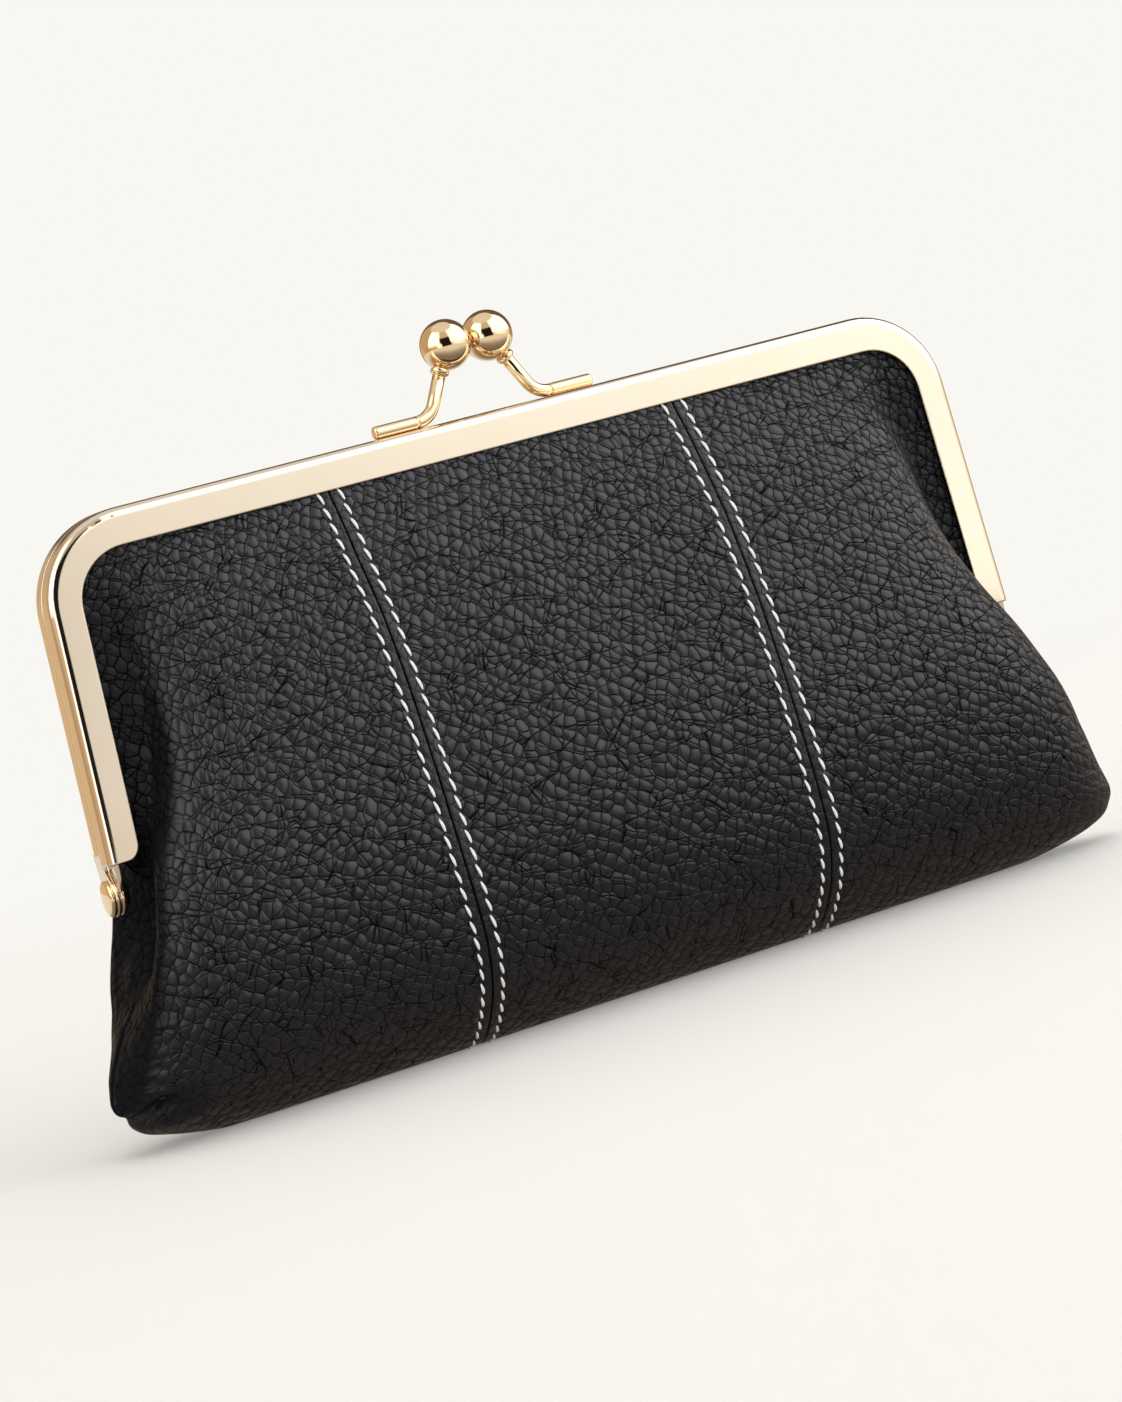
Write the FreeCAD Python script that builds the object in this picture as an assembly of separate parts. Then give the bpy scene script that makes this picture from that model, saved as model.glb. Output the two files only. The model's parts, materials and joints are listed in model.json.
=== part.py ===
import FreeCAD, Part
import math
import os

os.makedirs("parts", exist_ok=True)
Vector = FreeCAD.Vector

# Purse standing on its base: X along the frame, -Y the front, +Z up, origin under the middle.

# frame
hinge_height = 48.5            # floor to hinge axis
frame_rise = 71.6              # hinge axis to top of frame
frame_half_width = 100.0       # outer half width at the corners' foot
flare_level_rise = 51.6        # hinge axis to the level of that width
leg_flare = math.radians(2.13)
corner_radius = 18.0
bar_width = 7.3                # visible plate along the top
leg_width = 6.5                # visible plate along the legs
half_depth = 5.05              # one half, front to back
halves_gap = 0.3
plate_thickness = 0.8
wall_thickness = 1.0
flange_thickness = 0.8
flange_bar_width = 5.6
flange_leg_width = 5.0
leg_end_rise = 6.2             # hinge axis to lower end of a leg
plate_edge_radius = 1.8
leg_end_radius = 2.6
overrun = 2.0                  # cutters run past what they cut

# hinges
tab_radius = 3.4
tab_thickness = 1.2
outer_tab_thickness = 0.88
tab_gap = 0.12
inner_tab_top_rise = 11.0
outer_tab_top_rise = 8.6
tab_outer_corner_rise = 7.4
tab_inner_corner_rise = 5.2
tab_strip_inset = 1.0
rivet_radius = 1.5
rivet_clearance = 0.04
rivet_head_radius = 3.3
rivet_head_thickness = 1.0
rivet_head_edge = 0.35
rivet_tail_radius = 2.6
rivet_tail_thickness = 0.8
rivet_side_play = 0.08

# kiss lock
clasp_middle = -1.05
ball_radius = 5.15
ball_above_frame = 14.9        # frame's top to ball centres
ball_spread = 10.3             # between ball centres along the frame
ball_offset = 1.2              # each ball from the middle plane
wire_radius = 1.3
wire_bend_radius = 5.2
stalk_lean = math.radians(60.0)
foot_reach = 20.3              # ball centre to the foot's far end
foot_end_rounding = 0.5
flex_gap = 0.15
bore_clearance = 0.02
stalk_in_ball = 2.4
collar_radius = 1.9
collar_length = 1.3
collar_gap = 0.04
foot_seat_gap = 0.02

# leather and lining
leather = 1.2
lining = 0.5
layer_gap = 0.15
seam_half_spacing = 38.4
channel_play = 0.1
panel_edge_play = 0.35         # panel edge to the bottom of the channel
skirt_width_share = 0.904      # panels below the legs' ends, of the frame's half width
skirt_top_rise = 11.6
skirt_side_rise = 2.5           # lower end of the panels' flanks
skirt_side_depth = 10.0
cord_radius = 0.6
cord_inset = 1.9
cord_end_rise = 12.0

# upper panel at each level: depth at the middle, and as shares the rise over the frame's own rise,
# and the half widths at ridge and valley over the frame's half width
upper_depths = (21.7, 23.15, 23.45, 22.7, 20.5, 18.6, 17.6, 15.6, 13, 10.2, 6.9, 4.3, 4.3)
upper_rise_shares = (-0.126, -0.056, 0.014, 0.084, 0.154, 0.237, 0.377,
                     0.503, 0.628, 0.740, 0.831, 0.892, 1.006)
upper_ridge_shares = (0.89, 0.892, 0.892, 0.888, 0.882, 0.874, 0.854, 0.84, 0.822, 0.8, 0.78, 0.76, 0.76)
upper_valley_shares = (0.88, 0.882, 0.882, 0.88, 0.882, 0.886, 0.882, 0.874, 0.862, 0.846, 0.83, 0.82, 0.82)
ridge_depth_share = 0.62
shoulder_in = 9.0
shoulder_depth_share = 0.96

# pouch at each level: half depth, and as shares the height over the hinges' height,
# and the half widths at ridge and valley over the frame's half width
pouch_depths = (9.5, 12.6, 15.6, 18.9, 21.9, 23.8, 24.5, 24.4)
pouch_height_shares = (0, 0.0247, 0.0928, 0.2165, 0.3814, 0.5876, 0.7732, 0.8763)
pouch_ridge_shares = (0.95, 1.0, 1.066, 1.09, 1.07, 1.042, 1.004, 0.972)
pouch_valley_shares = (0.945, 0.99, 1.05, 1.06, 1.048, 1.012, 0.968, 0.956)
pouch_lining_top_share = 0.77   # of the hinges' height
rim_extra = 4.0
front_corner_in = 11.0
front_corner_share = 0.965
ridge_share = 0.5
corner_near_share = 0.7
corner_far_share = 0.3

frame_top = hinge_height + frame_rise
plate_face = halves_gap / 2 + half_depth      # middle plane to the outer face of a plate
channel_face = plate_face - plate_thickness - channel_play
hinge_point = Vector(0, 0, hinge_height)
skirt_half_width = skirt_width_share * frame_half_width
big = 4 * frame_half_width


def levels(heights, depths, ridge_shares, valley_shares):
    """Rows of height, depth, ridge half width and valley half width."""
    ridges = [share * frame_half_width for share in ridge_shares]
    valleys = [share * frame_half_width for share in valley_shares]
    return list(zip(heights, depths, ridges, valleys))


upper_heights = [hinge_height + share * frame_rise for share in upper_rise_shares]
upper_levels = levels(upper_heights, upper_depths, upper_ridge_shares, upper_valley_shares)
pouch_heights = [hinge_height * share for share in pouch_height_shares]
pouch_levels = levels(pouch_heights, pouch_depths, pouch_ridge_shares, pouch_valley_shares)


def save(shape, name):
    shape.exportStep("parts/%s.step" % name)


def flip(p):
    return Vector(-p.x, p.y, p.z)


def half_width_at(height):
    return frame_half_width + (hinge_height + flare_level_rise - height) * math.tan(leg_flare)


outer_tab_inside = half_width_at(hinge_height + leg_end_rise) - outer_tab_thickness
inner_tab_inside = outer_tab_inside - tab_gap - tab_thickness   # middle to the inner tab's inner face


def arch_outline(bar_inset, leg_inset, low, y):
    """Edges of the frame's arch, set in from its outer outline, from left foot to right foot."""
    top = frame_top - bar_inset
    radius = corner_radius - bar_inset
    foot = Vector(half_width_at(low) - leg_inset, y, low)
    corner = Vector(half_width_at(top) - leg_inset, y, top)
    down = (foot - corner).normalize()
    inward = Vector(-1, 0, 0)
    half_angle = down.getAngle(inward) / 2
    reach = radius / math.tan(half_angle)
    middle = (down + inward).normalize()
    leg_point = corner + down * reach
    bar_point = corner + inward * reach
    arc_point = corner + middle * (radius / math.sin(half_angle) - radius)
    return [
        Part.makeLine(flip(foot), flip(leg_point)),
        Part.Arc(flip(leg_point), flip(arc_point), flip(bar_point)).toShape(),
        Part.makeLine(flip(bar_point), bar_point),
        Part.Arc(bar_point, arc_point, leg_point).toShape(),
        Part.makeLine(leg_point, foot),
    ]


def arch_block(bar_inset, leg_inset, low, y_from, y_to):
    edges = arch_outline(bar_inset, leg_inset, low, y_from)
    first = edges[0].Vertexes[0].Point
    last = Vector(-first.x, first.y, first.z)
    edges.append(Part.makeLine(last, first))
    return Part.Face(Part.Wire(edges)).extrude(Vector(0, y_to - y_from, 0))


def channel():
    """Front half of the frame without its hinge tabs: plate, wall and inner flange."""
    low = hinge_height + leg_end_rise
    below = low - overrun
    body = arch_block(0, 0, low, -plate_face, -halves_gap / 2)
    outer_edges = []
    for edge in body.Edges:
        on_face = all(abs(v.Y + plate_face) < channel_play for v in edge.Vertexes)
        on_foot = all(abs(v.Z - low) < channel_play for v in edge.Vertexes)
        if on_face and not on_foot:
            outer_edges.append(edge)
    body = body.makeFillet(plate_edge_radius, outer_edges)
    plate_back = -plate_face + plate_thickness
    flange_front = -halves_gap / 2 - flange_thickness
    slot = arch_block(wall_thickness, wall_thickness, below, plate_back, flange_front)
    front_window = arch_block(bar_width, leg_width, below, -plate_face - overrun, plate_back)
    back_window = arch_block(flange_bar_width, flange_leg_width, below, flange_front, overrun)
    body = body.cut(slot).cut(front_window).cut(back_window)
    end_edges = []
    inner_half = half_width_at(low) - leg_width
    for edge in body.Edges:
        a, b = edge.Vertexes[0].Point, edge.Vertexes[-1].Point
        across = abs(a.x - b.x) < channel_play and abs(a.z - b.z) < channel_play
        at_end = abs(abs(a.x) - inner_half) < channel_play and abs(a.z - low) < channel_play
        if across and at_end and abs(a.y - b.y) > channel_play:
            end_edges.append(edge)
    return body.makeFillet(leg_end_radius, end_edges)


def tangent_point(point, sign):
    """Point where a line from a (y, z) place touches the tab's round end."""
    away = math.hypot(point[0], point[1])
    turn = math.acos(tab_radius / away)
    heading = math.atan2(point[1], point[0]) + sign * turn
    return (tab_radius * math.cos(heading), tab_radius * math.sin(heading))


def hinge_tab(side, inside, thickness, top_rise, facing):
    """Flat tab on one leg, from the leg's wall down to a round eye on the hinge axis."""
    outer_y = facing * (plate_face - tab_strip_inset)
    inner_y = facing * (halves_gap / 2)
    outer = (outer_y, tab_outer_corner_rise)
    inner = (inner_y, tab_inner_corner_rise)
    corners = [
        tangent_point(outer, -facing),
        outer,
        (outer_y, top_rise),
        (inner_y, top_rise),
        inner,
        tangent_point(inner, facing),
        (0, 0),
    ]
    x = side * inside
    points = [Vector(x, y, hinge_height + z) for y, z in corners]
    strip = Part.Face(Part.makePolygon(points + points[:1])).extrude(Vector(side * thickness, 0, 0))
    start = Vector(x, 0, hinge_height)
    along = Vector(side, 0, 0)
    eye = Part.makeCylinder(tab_radius, thickness, start, along)
    hole_start = start - along * overrun
    hole = Part.makeCylinder(rivet_radius + rivet_clearance, thickness + 2 * overrun, hole_start, along)
    return strip.fuse(eye).removeSplitter(), hole


def frame_half(facing):
    """facing -1 is the front half with inner tabs, +1 the rear half with outer tabs."""
    body = channel()
    if facing > 0:
        body = body.mirror(Vector(0, 0, 0), Vector(0, 1, 0))
    for side in (-1, 1):
        if facing < 0:
            tab, hole = hinge_tab(side, inner_tab_inside, tab_thickness, inner_tab_top_rise, facing)
        else:
            tab, hole = hinge_tab(side, outer_tab_inside, outer_tab_thickness, outer_tab_top_rise, facing)
        body = body.fuse(tab).cut(hole)
    return body.removeSplitter()


def rivet(side):
    along = Vector(side, 0, 0)
    tail_start = inner_tab_inside - rivet_side_play - rivet_tail_thickness
    head_start = outer_tab_inside + outer_tab_thickness + rivet_side_play
    length = head_start - tail_start

    def at(x):
        return hinge_point + along * x

    tail = Part.makeCylinder(rivet_tail_radius, rivet_tail_thickness, at(tail_start), along)
    shank = Part.makeCylinder(rivet_radius, length, at(tail_start), along)
    flat = rivet_head_thickness - rivet_head_edge
    head = Part.makeCylinder(rivet_head_radius, flat, at(head_start), along)
    crown = Part.makeCone(
        rivet_head_radius, rivet_head_radius - rivet_head_edge, rivet_head_edge, at(head_start + flat), along
    )
    return tail.fuse(shank).fuse(head).fuse(crown).removeSplitter()


def knob(facing):
    """Ball, collar, stalk and foot of one side of the kiss lock. facing -1 is front and left."""
    side = facing
    ball_x = clasp_middle + side * ball_spread / 2
    ball_y = facing * ball_offset
    foot_y = facing * (halves_gap / 2 + half_depth / 2)
    foot_z = frame_top + foot_seat_gap + wire_radius
    centre = Vector(ball_x, ball_y, frame_top + ball_above_frame)
    rise = centre.z - foot_z
    bend_x = ball_x + side * rise / math.tan(stalk_lean)
    bend = Vector(bend_x, foot_y, foot_z)
    upward = (centre - bend).normalize()
    outward = Vector(side, 0, 0)
    half_angle = upward.getAngle(outward) / 2
    reach = wire_bend_radius / math.tan(half_angle)
    foot_near = bend + outward * reach
    stalk_low = bend + upward * reach
    middle = (upward + outward).normalize()
    arc_point = bend + middle * (wire_bend_radius / math.sin(half_angle) - wire_bend_radius)
    foot_far_x = ball_x + side * foot_reach
    foot_length = abs(foot_far_x - foot_near.x)
    foot = Part.makeCylinder(wire_radius, foot_length, foot_near, outward)
    far_edges = [e for e in foot.Edges if abs(e.CenterOfMass.x - foot_far_x) < flex_gap]
    foot = foot.makeFillet(foot_end_rounding, far_edges)
    stalk_top = centre - upward * (ball_radius - stalk_in_ball)
    path = Part.Wire([
        Part.Arc(foot_near, arc_point, stalk_low).toShape(),
        Part.makeLine(stalk_low, stalk_top),
    ])
    ring = Part.Wire(Part.makeCircle(wire_radius, foot_near, outward))
    stalk = path.makePipeShell([ring], True, False)
    gap_start = foot_near - outward * flex_gap
    stalk = stalk.cut(Part.makeCylinder(wire_radius + overrun, flex_gap + overrun, gap_start, outward))
    ball = Part.makeSphere(ball_radius, centre)
    bore_radius = wire_radius + bore_clearance
    bore_start = centre - upward * (ball_radius + overrun)
    ball = ball.cut(Part.makeCylinder(bore_radius, stalk_in_ball + overrun, bore_start, upward))
    collar_start = centre - upward * (ball_radius + collar_gap + collar_length)
    collar = Part.makeCylinder(collar_radius, collar_length, collar_start, upward)
    bore_start = collar_start - upward * overrun
    collar = collar.cut(Part.makeCylinder(bore_radius, collar_length + 2 * overrun, bore_start, upward))
    return foot, stalk, collar, ball, foot_near


def through(a, b, c, flat=False):
    """Arc from a over b to c, or the straight line where the leather lies flat."""
    return Part.makeLine(a, c) if flat else Part.Arc(a, b, c).toShape()


def rounded(start, end):
    """Middle point of a soft corner that leaves start along X and reaches end along Y."""
    return Vector(
        start.x + (end.x - start.x) * corner_near_share,
        start.y + (end.y - start.y) * corner_far_share,
        start.z,
    )


def upper_points(level, inset):
    """Half a front panel's points at one level, set in from the leather's outer face."""
    z, depth, ridge, valley = level
    d = depth - inset
    face = channel_face - inset
    end = Vector(half_width_at(z) + overrun, -face, z)
    fold = Vector(valley - inset, -face, z)
    edge = Vector(ridge - inset, -face - (d - face) * ridge_depth_share, z)
    shoulder = Vector(ridge - shoulder_in - inset, -face - (d - face) * shoulder_depth_share, z)
    return end, fold, edge, shoulder, Vector(0, -d, z)


def upper_section(level, inset, thickness):
    """Closed thin outline of a front panel layer at one level."""
    rows = []
    for depth_in in (inset, inset + thickness):
        end, fold, edge, shoulder, middle = upper_points(level, depth_in)
        bend = rounded(shoulder, edge)
        flat = middle.y > shoulder.y - channel_play
        rows.append([
            Part.makeLine(flip(end), flip(fold)),
            Part.makeLine(flip(fold), flip(edge)),
            through(flip(edge), flip(bend), flip(shoulder), flat),
            through(flip(shoulder), middle, shoulder, flat),
            through(shoulder, bend, edge, flat),
            Part.makeLine(edge, fold),
            Part.makeLine(fold, end),
        ])
    outer, inner = rows
    outer_end = outer[-1].Vertexes[-1].Point
    inner_end = inner[-1].Vertexes[-1].Point
    edges = outer + [Part.makeLine(outer_end, inner_end)]
    edges += list(reversed(inner))
    edges.append(Part.makeLine(flip(inner_end), flip(outer_end)))
    return Part.Wire(edges)


def upper_layer(inset, thickness):
    """Leather or lining of the front above the hinge line, trimmed to the frame's channel."""
    layer = Part.makeLoft([upper_section(level, inset, thickness) for level in upper_levels], True, True)
    low = upper_heights[0] - overrun
    edge = wall_thickness + panel_edge_play
    trim = arch_block(edge, edge, low, -big, big)
    split = hinge_height + skirt_top_rise
    for side in (-1, 1):
        corner = Vector(side * skirt_half_width - (big if side < 0 else 0), -big, split - big)
        trim = trim.cut(Part.makeBox(big, 2 * big, big, corner))
    flank_corner = Vector(-big, -skirt_side_depth, hinge_height + skirt_side_rise - big)
    trim = trim.cut(Part.makeBox(2 * big, 2 * skirt_side_depth, big, flank_corner))
    return layer.common(trim)


def pouch_section(level, inset):
    """Outline of the pouch at one level: crowned front and rear, soft corners, folded sides."""
    z, depth, ridge, valley = level
    d = depth - inset
    w = ridge - inset
    corner = Vector(w - front_corner_in, -d * front_corner_share, z)
    edge = Vector(w, -d * ridge_share, z)
    fold = Vector(valley - inset, 0, z)
    bend = rounded(corner, edge)

    def back(p):
        return Vector(p.x, -p.y, p.z)

    def round_to(p):
        return back(flip(p))

    front = Vector(0, -d, z)
    return Part.Wire([
        through(flip(corner), front, corner),
        through(corner, bend, edge),
        Part.makeLine(edge, fold),
        Part.makeLine(fold, back(edge)),
        through(back(edge), back(bend), back(corner)),
        through(back(corner), back(front), round_to(corner)),
        through(round_to(corner), round_to(bend), round_to(edge)),
        Part.makeLine(round_to(edge), flip(fold)),
        Part.makeLine(flip(fold), flip(edge)),
        through(flip(edge), flip(bend), flip(corner)),
    ])


def pouch_solid(inset, floor_inset, extra):
    """Filled pouch, set in from the leather's outer face. Its top runs up by extra."""
    sections = [pouch_section(level, inset) for level in pouch_levels]
    if extra:
        top = pouch_levels[-1]
        sections.append(pouch_section((top[0] + extra,) + top[1:], inset))
    solid = Part.makeLoft(sections, True, True)
    if solid.Volume < 0:
        solid.reverse()
    if floor_inset:
        solid = solid.cut(Part.makeBox(big, big, floor_inset, Vector(-big / 2, -big / 2, 0)))
    return solid


def slab(x_from, x_to):
    return Part.makeBox(x_to - x_from, 2 * big, 2 * big, Vector(x_from, -big, -big))


def channel_cord():
    """Twisted cord that packs the leather in the front channel."""
    low = hinge_height + cord_end_rise
    y = -halves_gap / 2 - flange_thickness - channel_play - cord_radius
    edges = arch_outline(cord_inset, cord_inset, low, y)
    path = Part.Wire(edges)
    start = edges[0].Vertexes[0].Point
    heading = edges[0].tangentAt(edges[0].FirstParameter)
    ring = Part.Wire(Part.makeCircle(cord_radius, start, heading))
    return path.makePipeShell([ring], True, False)


def rear_of(shape):
    return shape.mirror(Vector(0, 0, 0), Vector(0, 1, 0))


save(frame_half(-1), "front_frame")
save(frame_half(1), "rear_frame")
save(rivet(-1), "left_hinge_rivet")
save(rivet(1), "right_hinge_rivet")

for facing, label in ((-1, "front"), (1, "rear")):
    foot, stalk, collar, ball, pivot = knob(facing)
    save(foot, "%s_knob_foot" % label)
    save(stalk, "%s_knob_stalk" % label)
    save(collar, "%s_knob_collar" % label)
    save(ball, "%s_knob_ball" % label)
    print(label, "knob bends at", [round(v, 3) for v in pivot])

cord = channel_cord()
save(cord, "front_channel_cord")
save(rear_of(cord), "rear_channel_cord")

strips = (
    ("left", -big, -seam_half_spacing),
    ("centre", -seam_half_spacing, seam_half_spacing),
    ("right", seam_half_spacing, big),
)
panel = upper_layer(0, leather)
for label, x_from, x_to in strips:
    piece = panel.common(slab(x_from, x_to))
    save(piece, "front_%s_panel" % label)
    save(rear_of(piece), "rear_%s_panel" % label)
panel_lining = upper_layer(leather + layer_gap, lining)
save(panel_lining, "front_lining")
save(rear_of(panel_lining), "rear_lining")

pouch = pouch_solid(0, 0, 0).cut(pouch_solid(leather, leather, rim_extra))
for label, x_from, x_to in strips:
    save(pouch.common(slab(x_from, x_to)), "pouch_%s_strip" % label)
lining_outer = leather + layer_gap
lining_inner = lining_outer + lining
inside = pouch_solid(lining_inner, lining_inner, rim_extra)
pouch_lining = pouch_solid(lining_outer, lining_outer, 0).cut(inside)
lining_top = hinge_height * pouch_lining_top_share
pouch_lining = pouch_lining.cut(Part.makeBox(2 * big, 2 * big, big, Vector(-big, -big, lining_top)))
save(pouch_lining, "pouch_lining")
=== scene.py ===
import bpy, bmesh, json, math
import numpy as np
from mathutils import Matrix, Vector, noise


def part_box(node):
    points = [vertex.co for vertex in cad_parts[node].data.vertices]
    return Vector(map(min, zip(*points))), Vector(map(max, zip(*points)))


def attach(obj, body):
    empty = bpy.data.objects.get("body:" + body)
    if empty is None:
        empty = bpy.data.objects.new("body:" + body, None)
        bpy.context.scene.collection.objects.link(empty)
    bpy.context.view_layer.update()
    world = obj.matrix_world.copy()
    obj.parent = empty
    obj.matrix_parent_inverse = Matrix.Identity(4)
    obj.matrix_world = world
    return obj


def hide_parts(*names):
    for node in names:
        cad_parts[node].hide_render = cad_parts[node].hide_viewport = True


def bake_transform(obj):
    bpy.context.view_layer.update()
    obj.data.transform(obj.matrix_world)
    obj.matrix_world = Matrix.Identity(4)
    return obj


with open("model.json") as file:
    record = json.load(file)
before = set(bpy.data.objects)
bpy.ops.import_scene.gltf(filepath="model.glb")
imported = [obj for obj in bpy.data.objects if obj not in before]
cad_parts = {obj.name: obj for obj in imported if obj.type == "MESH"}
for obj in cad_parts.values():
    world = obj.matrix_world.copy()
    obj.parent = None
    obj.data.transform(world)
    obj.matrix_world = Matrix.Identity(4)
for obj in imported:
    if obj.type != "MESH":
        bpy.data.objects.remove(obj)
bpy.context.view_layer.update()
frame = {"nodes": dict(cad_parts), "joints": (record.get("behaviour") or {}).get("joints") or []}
print("frame loaded:", len(frame["nodes"]), "nodes")

mm = 0.001
hingeZ = next(joint["pos_m"][2] for joint in frame["joints"] if joint["name"] == "front_half_hinge")


# camera, from the angle the purse was photographed at

shot = {
    "turn": math.radians(23.23),      # to the purse's left
    "rise": math.radians(3.32),
    "roll": math.radians(14.94),
    "distance": 727.6 * mm,
    "aim": (-1.35 * mm, 0.0, hingeZ + 11.98 * mm),
    "focalPixels": 3628.3,
    "pictureHeight": 1402,
    "sensor": 36.0,
    "clip": (0.01, 50),
}


def placeCamera():
    turn, rise, roll = shot["turn"], shot["rise"], shot["roll"]
    back = Vector((-math.sin(turn) * math.cos(rise), -math.cos(turn) * math.cos(rise), math.sin(rise)))
    level = Vector((math.cos(turn), -math.sin(turn), 0))
    upright = back.cross(level)
    right = level * math.cos(roll) - upright * math.sin(roll)
    up = level * math.sin(roll) + upright * math.cos(roll)
    data = bpy.data.cameras.new("purseCamera")
    data.sensor_width = shot["sensor"]
    data.lens = shot["focalPixels"] / shot["pictureHeight"] * shot["sensor"]
    data.clip_start, data.clip_end = shot["clip"]
    camera = bpy.data.objects.new("purseCamera", data)
    bpy.context.scene.collection.objects.link(camera)
    spot = Vector(shot["aim"]) + back * shot["distance"]
    turned = Matrix((right, up, back)).transposed()
    camera.matrix_world = Matrix.Translation(spot) @ turned.to_4x4()
    bpy.context.scene.camera = camera


placeCamera()
print("camera placed")


# mesh helpers

def asPiece(name, mesh, look):
    data = bpy.data.meshes.new(name)
    mesh.to_mesh(data)
    mesh.free()
    data.materials.append(look)
    piece = bpy.data.objects.new(name, data)
    bpy.context.scene.collection.objects.link(piece)
    return piece


def lathe(outline, axis, hub, steps):
    mesh = bmesh.new()
    verts = [mesh.verts.new(spot) for spot in outline]
    edges = [mesh.edges.new(pair) for pair in zip(verts, verts[1:])]
    bmesh.ops.spin(mesh, geom=verts + edges, cent=hub, axis=axis, angle=2 * math.pi, steps=steps,
                   use_merge=True, dvec=(0, 0, 0))
    bmesh.ops.remove_doubles(mesh, verts=mesh.verts, dist=0.01 * mm)
    return mesh


# shader helpers

def newMaterial(name):
    material = bpy.data.materials.new(name)
    material.use_nodes = True
    tree = material.node_tree
    return material, tree, tree.nodes["Principled BSDF"]


def plug(tree, slot, value):
    # value is an output to link or a plain setting
    if hasattr(value, "links"):
        tree.links.new(value, slot)
    else:
        slot.default_value = value


def addNode(tree, kind, **settings):
    node = tree.nodes.new(kind)
    for key, value in settings.items():
        if key in node.inputs:
            plug(tree, node.inputs[key], value)
        else:
            setattr(node, key, value)
    return node


def mathNode(tree, operation, a, b=None, clamp=False):
    node = addNode(tree, "ShaderNodeMath", operation=operation, use_clamp=clamp)
    for slot, value in zip(node.inputs, (a, b)):
        if value is not None:
            plug(tree, slot, value)
    return node.outputs[0]


def vectorNode(tree, operation, *values):
    node = addNode(tree, "ShaderNodeVectorMath", operation=operation)
    for slot, value in zip(node.inputs, values):
        plug(tree, slot, value)
    return node.outputs


def mixColours(tree, share, first, second):
    node = addNode(tree, "ShaderNodeMix", data_type="RGBA")
    for label, value in (("Factor", share), ("A", first), ("B", second)):
        plug(tree, node.inputs[label], value)
    return node.outputs["Result"]


def ranged(tree, value, start, end, low=0.0, high=1.0, kind="SMOOTHSTEP"):
    # low where the value is at start, high where it is at end
    node = addNode(tree, "ShaderNodeMapRange", interpolation_type=kind, Value=value)
    for label, limit in (("From Min", start), ("From Max", end), ("To Min", low), ("To Max", high)):
        node.inputs[label].default_value = limit
    return node.outputs[0]


def newGroup(name, inputs, outputs):
    group = bpy.data.node_groups.new(name, "ShaderNodeTree")
    for way, sockets in (("INPUT", inputs), ("OUTPUT", outputs)):
        for label, kind in sockets:
            group.interface.new_socket(label, in_out=way, socket_type=kind)
    return group, group.nodes.new("NodeGroupInput"), group.nodes.new("NodeGroupOutput")


# pebble grain of the leather

def wandering(tree, place, scale, reach):
    # place pushed about by soft noise, so that no cell is regular
    drift = addNode(tree, "ShaderNodeTexNoise", Scale=scale, Detail=1.0, Vector=place)
    centred = vectorNode(tree, "SUBTRACT", drift.outputs["Color"], (0.5, 0.5, 0.5))[0]
    return vectorNode(tree, "MULTIPLY_ADD", centred, (reach, reach, 0.0), place)[0]


def cellNode(tree, place, feature, scale=1.0, uneven=1.0):
    return addNode(tree, "ShaderNodeTexVoronoi", feature=feature, voronoi_dimensions="2D",
                   Scale=scale, Randomness=uneven, Vector=place).outputs


pebble = {
    "wander": [(0.3, 0.9), (1.1, 0.22)],   # scale and reach of the noise that pushes the pebbles about
    "rows": (38, 111),             # degrees down from level, the two ways the pebbles line up
    "uneven": 0.56,
    # heights in millimetres, widths in cells
    "dome": 1.0,
    "creaseWidth": 0.07,
    "creaseDepth": 0.28,
    "folds": [(40, 2.4), (-10, 2.8)],   # long deep creases: degrees down from level, how far they run
    "foldScale": 0.5,
    "foldWidth": 0.045,
    "foldDepth": 0.14,
    "foldShift": (17.3, 9.1, 0),
    "fadeScale": 0.7,              # some creases run deeper
    "fadeTop": 0.8,
    "fade": (0.35, 1.2),
    "poreScale": 6.0,
    "poreDepth": 0.05,
    "gatherDepth": 0.9,
    "gatherStretch": (0.22, 1.25, 1.0),
}


def latticePlace(tree, place):
    # place measured along the two ways the pebbles line up
    first, second = [math.radians(degrees) for degrees in pebble["rows"]]
    area = math.sin(second - first)
    ways = (
        (math.sin(second) / area, -math.cos(second) / area, 0),
        (-math.sin(first) / area, math.cos(first) / area, 0),
    )
    joined = addNode(tree, "ShaderNodeCombineXYZ")
    for way, slot in zip(ways, joined.inputs):
        plug(tree, slot, vectorNode(tree, "DOT_PRODUCT", place, way)["Value"])
    return joined.outputs[0]


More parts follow.
